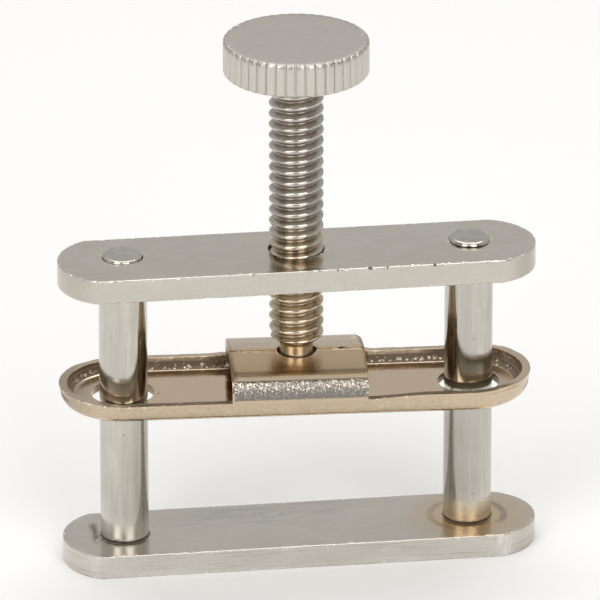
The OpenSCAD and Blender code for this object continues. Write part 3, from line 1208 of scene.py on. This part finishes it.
# %% Colours of the plating and of what is on it
NICKEL = (0.645, 0.61, 0.54)
WARM_NICKEL = (0.62, 0.50, 0.36)
TARNISH = (0.42, 0.37, 0.30)
GOLDEN = (0.62, 0.45, 0.24)
DARK_BROWN = (0.085, 0.055, 0.035)
RUST = (0.17, 0.075, 0.03)
BRIGHT = (0.86, 0.84, 0.80)
print("nickel", NICKEL, "and on the jaw", WARM_NICKEL)

# %% [markdown]
# ### Bars
# The bars are tumbled and plated: glossy on the flats, with fine lines along their sides.
# The plating is thin on the edges, with glints painted on their nicks, and there are a few pits. Rust
# has started in a ring at each post's foot, and has stained the base bar around it.

# %% Bar finishes
def bar_finish(name, side_colour, roughness, side_lines, top_height):
    """Both bars' layers. side_lines is how strongly the sides are lined and creased."""
    finish = Finish(bpy.data.materials.new(name), NICKEL, roughness)
    side_mask = finish.z.ramp(top_height - 0.03, top_height - 0.1)
    finish.paint(side_mask, side_colour)
    cloud = finish.effect("stain", Stretch=(0.13, 0.2, 0.2), Level=0.35, Softness=0.35)
    finish.paint(cloud * 0.2, TARNISH, roughness + 0.08)
    lines = finish.effect("lines", Stretch=(0.22, 0.22, 6))
    finish.paint(lines.ramp(0.48, 0.72) * side_mask * side_lines, TARNISH)
    finish.emboss(lines * side_mask, 0.012 * side_lines)
    grain = finish.effect("lines", Stretch=(5, 5, 5))
    finish.emboss(grain, 0.004)
    finish.paint(grain.ramp(0.5, 0.75) * side_mask * 0.25, TARNISH, 0.4)
    wave = finish.effect("lines", Stretch=(0.35, 0.35, 0.35), Detail=2.0)
    finish.emboss(wave, 0.035)
    one_way = finish.effect("scratches", Turn=(0, 0, 0.5), Stretch=(0.10, 1.7, 1.7), Width=0.003)
    other_way = finish.effect(
        "scratches", offset=31.0, Turn=(0, 0, -0.8), Stretch=(0.12, 1.9, 1.9), Width=0.003)
    finish.paint(one_way.math("MAXIMUM", other_way) * 0.15, DARK_BROWN, roughness + 0.1)
    pits = finish.effect("pits", Scale=0.38, Share=0.10, Size=0.09)
    finish.paint(pits, DARK_BROWN, 0.7, 0.3)
    finish.emboss(pits, -0.03)
    fine = finish.effect("pits", offset=13.0, Scale=1.9, Share=0.10, Size=0.13)
    finish.paint(fine * 0.45, DARK_BROWN, 0.5)
    nicks_and_glints = finish.effect("pits", offset=5.0, Scale=3.2, Share=0.75, Size=0.36)
    finish.emboss(nicks_and_glints * finish.edge, -0.05)
    # painted glints: the nicks on the edges are painted near white and less metallic
    finish.paint(nicks_and_glints * finish.edge.ramp(0.3, 0.6), (0.95, 0.94, 0.92), 0.3, 0.2)
    for low, high, shade in ((18.8, 21, (0.82, 0.81, 0.79)), (-18.8, -21, (0.92, 0.91, 0.9))):
        finish.paint(side_mask * finish.x.ramp(low, high), shade, blend="MULTIPLY")
    strokes = finish.effect("lines", offset=2.0, Stretch=(5, 5, 0.6)).ramp(0.4, 0.62)
    for low, high, strength in ((-19.9, -18.9, 0.35), (18.2, 19.6, 0.9)):
        patch = side_mask * finish.x.band(low, high, 0.25) * strokes * (strength * side_lines)
        finish.paint(patch, (0.88, 0.86, 0.82), 0.3, 0.6)
    return finish


def post_ring(finish, side, inner, outer):
    """Rust in an uneven ring round one post."""
    ragged = finish.effect(
        "stain", offset=2.0 * side, Stretch=(2.2, 2.2, 2.2), Level=0.30, Softness=0.35)
    ring = finish.from_axis(side * post_spacing / 2).ramp(outer, inner) * ragged
    finish.paint(ring, (0.06, 0.028, 0.014), 0.75, 0.1)
    finish.emboss(ring, 0.02)


print("bar layers ready")

# %% [markdown]
# Around the right post's foot the base bar is golden, with rusty specks and an old ring
# that is dark on one side and brown on the other. The left end has a short dark scuff.

# %% Base bar's stains
base = bar_finish("bar_nickel_base", side_colour=(0.72, 0.705, 0.66), roughness=0.19,
                  side_lines=0.6, top_height=base_top)
on_top = base.z.ramp(base_top - 0.2, base_top - 0.05)
halo = base.from_axis(post_spacing / 2 + 0.5, -0.5).ramp(8.0, 1.5)
base.paint(halo * on_top * 0.78, GOLDEN, 0.24)
ring = (base.from_axis(post_spacing / 2).band(3.15, 3.8, 0.15) * on_top
        * base.effect("stain", Stretch=(0.5, 0.5, 0.5), Level=0.26, Softness=0.2))
east = base.x.ramp(post_spacing / 2 + 1.0, post_spacing / 2 + 2.6)
base.paint(ring * east * base.y.ramp(-2.8, -1.4) * 0.75, (0.2, 0.18, 0.16), 0.45)
specks = base.effect("pits", offset=21.0, Scale=1.7, Share=0.45, Size=0.16)
base.paint(specks * halo * on_top * 0.55, (0.22, 0.13, 0.07), 0.5)
west = base.x.ramp(post_spacing / 2 - 1.0, post_spacing / 2 - 2.6)
base.paint(ring * west * 0.5, (0.28, 0.2, 0.13), 0.4)
smear = (base.y.band(0.5, 4.4, 0.8) * base.x.band(-10, 4, 2.5)
         * base.effect("stain", Stretch=(0.2, 0.9, 1), Level=0.42, Softness=0.22) * on_top)
base.paint(smear * 0.55, (0.32, 0.32, 0.3), 0.4)
scuff = (base.x.band(-19.2, -18.6, 0.35) * on_top * base.y.band(-1.6, 2.6, 0.6)
         * base.effect("stain", offset=8.0, Stretch=(1.9, 0.9, 1), Level=0.34, Softness=0.12))
base.paint(scuff * 0.9, (0.13, 0.1, 0.08), 0.45)
for side in (-1, 1):
    post_ring(base, side, inner=2.24, outer=2.52)
base_nickel = base.done()

# %% [markdown]
# The top bar's front is gritty, and its upper front edge has a few small dark dents.

# %% Top bar's dents
top = bar_finish("bar_nickel_top", side_colour=(0.57, 0.545, 0.485), roughness=0.16,
                 side_lines=0.1, top_height=top_high.z)
grit = top.effect("lines", offset=4.0, Stretch=(6, 6, 6))
front = top.z.ramp(top_high.z - 0.08, top_high.z - 0.2)
top.paint(grit.ramp(0.5, 0.75) * front * 0.3, TARNISH, 0.35)
top.emboss(grit * front, 0.01)
for x, radius in ((6.1, 0.24), (12.1, 0.19), (7.7, 0.11), (3.1, 0.10)):
    dent = top.from_axis(x, 0.05 - bar_width / 2 - bar_forward).ramp(radius, radius * 0.6)
    dent = dent * top.z.ramp(top_high.z - 0.3, top_high.z - 0.12)
    top.paint(dent * 0.85, (0.09, 0.06, 0.04), 0.6)
top_nickel = top.done()

# %% [markdown]
# ### Posts
# A post was drawn, so its faint lines run along it. It is the smoothest piece here, and its
# lowest millimetre and a half is stained gold and pitted by rust.

# %% Post finishes
def post_finish(name, colour, side, gold):
    """One post's layers. side is -1 at the left, and gold is how much its foot is stained."""
    finish = Finish(bpy.data.materials.new(name), colour, 0.12)
    drawn = finish.effect("lines", Stretch=(4, 4, 0.25))
    finish.emboss(drawn, 0.006)
    finish.paint(drawn.ramp(0.45, 0.75) * 0.35, TARNISH)
    streak = finish.effect("lines", offset=9.0 * side, Stretch=(1.1, 1.1, 0.06), Detail=2.0)
    finish.paint(streak.ramp(0.4, 0.62) * 0.3, (0.33, 0.32, 0.31), 0.2)
    mottle = finish.effect(
        "stain", offset=3.0 * side, Stretch=(0.5, 0.5, 0.3), Level=0.42, Softness=0.3)
    finish.paint(mottle * 0.3, TARNISH, 0.2)
    pits = finish.effect("pits", Scale=1.1, Share=0.08, Size=0.10)
    finish.paint(pits, DARK_BROWN, 0.7)
    foot = finish.z.ramp(base_top + 3.3, base_top + 0.9)
    finish.paint(foot, (0.68, 0.66, 0.61), 0.34)
    finish.paint(foot * gold, (0.66, 0.5, 0.3), 0.38)
    pitted = finish.effect("lines", offset=12.0, Stretch=(3.2, 3.2, 3.2), Detail=3.0)
    finish.emboss(pitted * foot, 0.1 * gold)
    spots = finish.effect("pits", offset=3.0, Scale=2.0, Share=0.5, Size=0.26)
    finish.paint(foot * spots * gold * 0.6, (0.24, 0.15, 0.08), 0.5)
    ragged = finish.effect("stain", Stretch=(2.0, 2.0, 2.6), Level=0.40, Softness=0.25)
    rust = finish.z.ramp(base_top + 0.55, base_top + 0.1) * ragged
    finish.paint(rust, RUST, 0.8, 0.1)
    finish.emboss(rust, 0.03)
    foot_ring = finish.z.ramp(base_top + 0.27, base_top + 0.17)
    finish.paint(foot_ring * 0.85, (0.06, 0.03, 0.015), 0.8, 0.1)
    head = finish.z.ramp(top_high.z - 0.1, top_high.z)
    dents = finish.effect("lines", offset=6.0, Stretch=(1.1, 1.1, 1.1), Detail=3.0)
    finish.emboss(dents * head, 0.035)
    return finish.done()


left_post_nickel = post_finish("post_nickel_left", (0.59, 0.565, 0.505), side=-1, gold=0.0)
right_post_nickel = post_finish("post_nickel_right", (0.56, 0.54, 0.485), side=1, gold=0.6)

# %% [markdown]
# ### Jaw
# The jaw's plating is warmer. Where the sheet was bent, its surface opened into a coarse
# grain that sparkles, and dark grains and bright sparkles are painted on it as well. The floor is still
# a mirror, and the tray's inner walls and the rim's front edge hold brown dirt, with rust in the
# corners.

# %% Jaw finish
jaw_material = bpy.data.materials.new("jaw_nickel")
finish = Finish(jaw_material, WARM_NICKEL, 0.17, height=jaw_z, turn=(0, -tilt, swing))
x, y, z = finish.x, finish.y, finish.z
past_straight = (abs(x) - (jaw_length - jaw_width) / 2).math("MAXIMUM", 0.0)
from_middle = put(finish.tree, "ShaderNodeCombineXYZ", {0: past_straight, 1: y})
from_middle = vector_math(finish.tree, "LENGTH", from_middle, (0, 0, 0), "Value")
grain = finish.effect("lines", Stretch=(4, 4, 4))
finish.emboss(grain, 0.006)
cloud = finish.effect("stain", Stretch=(0.25, 0.3, 0.3), Level=0.35, Softness=0.35)
finish.paint(cloud * 0.15, TARNISH, 0.22)
print("nodes so far:", len(finish.tree.nodes))

# %% [markdown]
# The hood's front bend is the coarsest and brightest place. Dark grains are painted on it for the dark
# of its sparkle, and a shadow is painted on its lower part. The bend between the floor and the walls has
# the same grain.

# %% Bends
by_hood = x.band(-hood_length / 2 - 0.05, hood_length / 2 + 0.05, 0.02)
front_bend = by_hood * z.ramp(2.05, 2.3) * z.ramp(3.92, 3.7) * y.ramp(-5.0, -5.3)
coarse = finish.effect("lines", Stretch=(4.2, 4.2, 4.2), Detail=1.5)
inner_bend = (z.band(sheet + 0.05, sheet + 0.6, 0.05)
              * from_middle.band(floor_half - 0.3, floor_half + 0.6, 0.1))
finish.paint(front_bend * 0.8, (0.56, 0.51, 0.43), 0.14)
# painted reflection: dark grains for the facets of the coarse bend that mirror the dark room
dark_sparkle = front_bend * coarse.ramp(0.4, 0.5)
finish.paint(dark_sparkle * 0.8, (0.17, 0.165, 0.16), 0.28)
shade = front_bend * z.ramp(3.1, 2.5)
finish.paint(shade * 0.6, (0.2, 0.19, 0.18), 0.25)
finish.emboss(front_bend * coarse, 0.1)
finish.emboss(inner_bend * coarse, 0.12)
print("nodes so far:", len(finish.tree.nodes))

# %% [markdown]
# The flaps are brown. The burr along the seam is raised and has a painted highlight, and a highlight is
# painted round the neck's hole. The top of the front bend has a pale band of painted reflection, and the
# front flap's crease a band of painted shade. The guide holes' walls are dark, and the tray's left end
# is a little darker than the right one.

# %% Flaps and guide holes
on_flap = by_hood * z.ramp(4.0, 4.12) * y.ramp(0.0, -0.1)
finish.paint(on_flap * 0.7, (0.56, 0.4, 0.22), 0.29)
rear_flap = by_hood * z.ramp(4.0, 4.12) * y.ramp(-0.05, 0.05)
finish.paint(rear_flap * 0.85, (0.54, 0.415, 0.27), 0.26)
burr_and_highlight = (on_flap * y.band(-0.42, -0.1, 0.08)
        * finish.effect("stain", offset=6.0, Stretch=(1.6, 2.5, 1.6), Level=0.38, Softness=0.12))
# painted highlight on the seam's burr, which the bump also raises
finish.paint(burr_and_highlight * 0.9, (0.92, 0.85, 0.72), 0.4, 0.3)
finish.emboss(burr_and_highlight, 0.12)
# painted reflection: a pale band along the top of the front bend, for the lights seen in it
tan = by_hood * y.band(-5.62, -5.15, 0.14) * z.ramp(3.4, 3.6)
finish.paint(tan * 0.75, (0.8, 0.69, 0.54), 0.4, 0.45)
# painted shade along the front flap's crease into the bend
crease_shade = (on_flap * y.band(-4.8, -4.3, 0.4)
         * finish.effect("stain", offset=14.0, Stretch=(0.45, 0.45, 0.45), Level=0.15, Softness=0.3))
finish.paint(crease_shade * 0.95, (0.23, 0.16, 0.1), 0.35)
# painted highlight round the neck's hole
lip_highlight = finish.from_axis(0).band(neck_hole - 0.1, neck_hole + 0.12, 0.03) * on_flap
finish.paint(lip_highlight * 0.9, (0.84, 0.78, 0.68), 0.3)
hole_wall = z.ramp(sheet - 0.02, sheet - 0.06) * z.ramp(0.02, 0.06)
for side in (-1, 1):
    mouth = finish.from_axis(side * post_spacing / 2).ramp(guide_radius + 0.09, guide_radius + 0.04)
    finish.paint(hole_wall * mouth * 0.9, (0.3, 0.235, 0.165), 0.45)
end_shade = x.ramp(-18.5, -21)
finish.paint(end_shade * 0.8, (0.4, 0.33, 0.25), 0.25)
print("nodes so far:", len(finish.tree.nodes))

# %% [markdown]
# Inside the tray, the floor is a clean mirror. Dirt has dried on the rear wall. Its foot is painted dark
# as shade, with painted sparkles for the glints of the bend's grain. The front wall has no dirt, and is
# painted paler and rougher as painted light.

# %% Inside the tray
floor = z.band(sheet - 0.03, sheet + 0.012, 0.01) * from_middle.ramp(floor_half, floor_half - 0.2)
finish.paint(floor, (0.69, 0.545, 0.39), 0.08)
half_width = jaw_width / 2
wall = (z.ramp(sheet + 0.03, sheet + 0.2) * z.ramp(rim_height + 0.02, rim_height - 0.12)
        * from_middle.ramp(half_width - 0.42, half_width - 0.62))
inner_wall = wall * y.ramp(-3.5, -1.5)
ragged = finish.effect("stain", Stretch=(1.1, 1.1, 1.1), Level=0.25, Softness=0.3)
finish.paint(inner_wall * ragged * 0.75, (0.27, 0.205, 0.14), 0.42, 0.85)
rough_wall = finish.effect("lines", offset=3.0, Stretch=(5, 5, 5))
finish.emboss(inner_wall * rough_wall, 0.03)
# painted shade at the foot of the inner walls, where they bend into the floor
wall_foot_shade = (z.ramp(sheet + 0.005, sheet + 0.07) * z.ramp(sheet + 0.85, sheet + 0.5)
             * from_middle.ramp(floor_half - 0.55, floor_half - 0.3) * y.ramp(-3.5, -1.5))
finish.paint(wall_foot_shade * 0.9, (0.21, 0.16, 0.11), 0.6, 0.6)
# painted sparkles: bright spots along the wall's foot for the glints of the bend's grain
painted_sparkles = finish.effect("pits", offset=9.0, Scale=2.9, Share=0.8, Size=0.46)
painted_sparkles = (painted_sparkles * wall_foot_shade * z.ramp(sheet + 0.5, sheet + 0.4)
          * z.ramp(sheet + 0.04, sheet + 0.1) * y.ramp(1.0, 3.0))
finish.paint(painted_sparkles * 0.95, (0.84, 0.76, 0.6), 0.25, 0.9)
# painted light: the front inner wall is painted paler and rougher
finish.paint(wall * y.ramp(-1.5, -3.5) * 0.9, (0.72, 0.65, 0.54), 0.5)
print("nodes so far:", len(finish.tree.nodes))

# %% [markdown]
# The rim's upper edge is dirty in front, with a few painted glints. The underside's edge is
# painted dark as shade, and there is rust where the hood meets the tray.

# %% Rim and edges
rim_top = (z.ramp(rim_height - 0.06, rim_height - 0.01)
           * z.ramp(rim_height + 0.42, rim_height + 0.36))
rim_front = (rim_top * y.ramp(-3.4, -5.0)
             * from_middle.ramp(half_width - 0.02, half_width - 0.22))
finish.paint(rim_front * 0.85, (0.17, 0.12, 0.07), 0.45, 0.9)
finish.emboss(rim_front * rough_wall, 0.05)
# painted glints: a few bright spots on the rim's dirty front
rim_glints = finish.effect("pits", offset=15.0, Scale=3.6, Share=0.5, Size=0.3)
rim_glints = rim_glints * rim_front * x.ramp(9, 14)
finish.paint(rim_glints * 0.9, (0.82, 0.74, 0.58), 0.4, 0.2)
# painted shade along the underside's edge
underside_shade = ((ragged * 0.12 + z).ramp(0.36, 0.24)
              * from_middle.ramp(floor_half + 0.2, floor_half + 0.5))
finish.paint(underside_shade * 0.85, (0.17, 0.125, 0.075), 0.5)
hood_foot = (abs(x).band(hood_length / 2 - 0.2, hood_length / 2 + 0.9, 0.3)
             * from_middle.ramp(half_width - 0.35, half_width - 0.7)
             * z.ramp(sheet, sheet + 0.1) * ragged)
finish.paint(hood_foot * 0.8, RUST, 0.6, 0.6)
print("nodes so far:", len(finish.tree.nodes))

# %% [markdown]
# Outside, the sheet is finely pebbled, with nicks along its edges that carry painted glints, and a few
# pits.

# %% Outside of the tray
nicks_and_glints = finish.effect("pits", offset=5.0, Scale=3.0, Share=0.6, Size=0.34)
nicks_and_glints = nicks_and_glints * y.ramp(-3.8, -4.8)
finish.emboss(nicks_and_glints * finish.edge, -0.04)
# painted glints on the nicks of the front edges
finish.paint(nicks_and_glints * finish.edge.ramp(0.35, 0.65), (0.9, 0.85, 0.75), 0.3, 0.3)
outer_wall = from_middle.ramp(half_width - 0.75, half_width - 0.5) * z.ramp(rim_height + 0.1, rim_height)
pebbles = finish.effect("lines", offset=8.0, Stretch=(2.6, 2.6, 2.6), Detail=4.0)
finish.emboss(pebbles * outer_wall, 0.035)
finish.paint(pebbles.ramp(0.52, 0.72) * outer_wall * 0.5, (0.4, 0.31, 0.21), 0.3)
finish.paint(pebbles.ramp(0.45, 0.3) * outer_wall * 0.5, (0.76, 0.66, 0.52), 0.3)
pits = finish.effect("pits", Scale=0.7, Share=0.12, Size=0.10)
finish.paint(pits, DARK_BROWN, 0.7, 0.3)
jaw_nickel = finish.done()

# %% [markdown]
# ### Thumbscrew
# The thread's grooves are painted darker, as shade and brown dirt, and its crests carry a painted
# highlight. The head has a satin top with faint rings from the lathe, and a knurl that hands have worn
# smooth.

# %% Thread and neck
finish = Finish(screw_finish, (0.51, 0.485, 0.44), 0.20)
x, z = finish.x, finish.z
axis = finish.from_axis(0)
on_thread = z.band(shank_low - 0.1, head_low, 0.05)
warm = z.ramp(top_high.z + 5, top_high.z - 1)
finish.paint(warm, (0.63, 0.53, 0.39))
# painted shade and brown dirt in the thread's grooves
root = axis.ramp(2.42, 2.12) * on_thread
finish.paint(root * 0.45, (0.2, 0.15, 0.11), 0.28, 0.95)
neck_zone = z.ramp(shank_low + 0.4, shank_low)
finish.paint(neck_zone * 0.8, (0.7, 0.6, 0.47), 0.3)
grime = finish.effect("stain", Stretch=(0.8, 0.8, 0.8), Level=0.40, Softness=0.3)
finish.paint(on_thread * grime * 0.35, (0.2, 0.14, 0.09), 0.25)
# painted highlight along the thread's crests
crest = axis.ramp(screw_radius - 0.1, screw_radius - 0.04) * on_thread
finish.paint(crest * 0.2, BRIGHT, 0.24)
grain = finish.effect("lines", Stretch=(3, 3, 3))
finish.emboss(grain, 0.004)
print("nodes so far:", len(finish.tree.nodes))

# %% [markdown]
# The head is paler and satin. Its grooves are painted a little darker, as shade, and its upper face has
# rings from the lathe under a smudge of wear. Glints are painted on nicks along its upper edge.

# %% Head
on_head = z.ramp(head_low - 0.05, head_low + 0.05)
finish.paint(on_head, (0.575, 0.55, 0.495), 0.32)
# painted shade in the knurl's grooves
groove = (axis.ramp(head_radius - 0.045, head_radius - 0.11) * on_head
          * axis.ramp(head_radius - 0.2, head_radius - 0.16))
finish.paint(groove * 0.2, (0.25, 0.22, 0.19), 0.5)
knurl_lines = finish.effect("lines", Stretch=(4, 4, 0.6))
finish.emboss(knurl_lines * on_head, 0.006)
rings = put(finish.tree, "ShaderNodeCombineXYZ", {0: axis * 6.0, 1: x * 0.12})
turned = put(finish.tree, "ShaderNodeTexNoise", {"Vector": rings, "Scale": 1.0, "Detail": 3.0})
top_face = z.ramp(head_high - 0.05, head_high - 0.01)
finish.emboss(turned * top_face, 0.012)
finish.paint(top_face * 0.9, (0.51, 0.48, 0.43), 0.36)
smudge = finish.effect("stain", offset=17.0, Stretch=(0.45, 0.45, 0.45), Level=0.36, Softness=0.3)
finish.paint(top_face * smudge * 0.45, (0.43, 0.4, 0.36), 0.45)
nicks_and_glints = finish.effect("pits", offset=5.0, Scale=1.6, Share=0.5, Size=0.30)
upper_edge = z.ramp(head_high - 0.5, head_high - 0.2)
# painted highlights: glints on nicks along the head's upper edge
finish.paint(nicks_and_glints * finish.edge * upper_edge, (0.93, 0.92, 0.88), 0.25, 0.5)
screw_nickel = finish.done()

# %% [markdown]
# ## Hand over the pieces
# Each mesh takes its material and rides on the body of the node that it replaces, which is
# hidden. The node's slot is listed beside it.

# %% Materials, bodies and slots
for made, node, body, slot, material in (
        (base_bar, "base_bar", "frame", "bar_nickel", base_nickel),
        (top_bar, "top_bar", "frame", "bar_nickel", top_nickel),
        (left_post, "left_post", "frame", "post_nickel", left_post_nickel),
        (right_post, "right_post", "frame", "post_nickel", right_post_nickel),
        (jaw, "moving_jaw", "jaw", "jaw_nickel", jaw_nickel),
        (screw, "thumbscrew", "screw", "screw_nickel", screw_nickel)):
    made.data.materials.clear()
    made.data.materials.append(material)
    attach(made, body)
    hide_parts(node)
    print(node, "rides on", body)
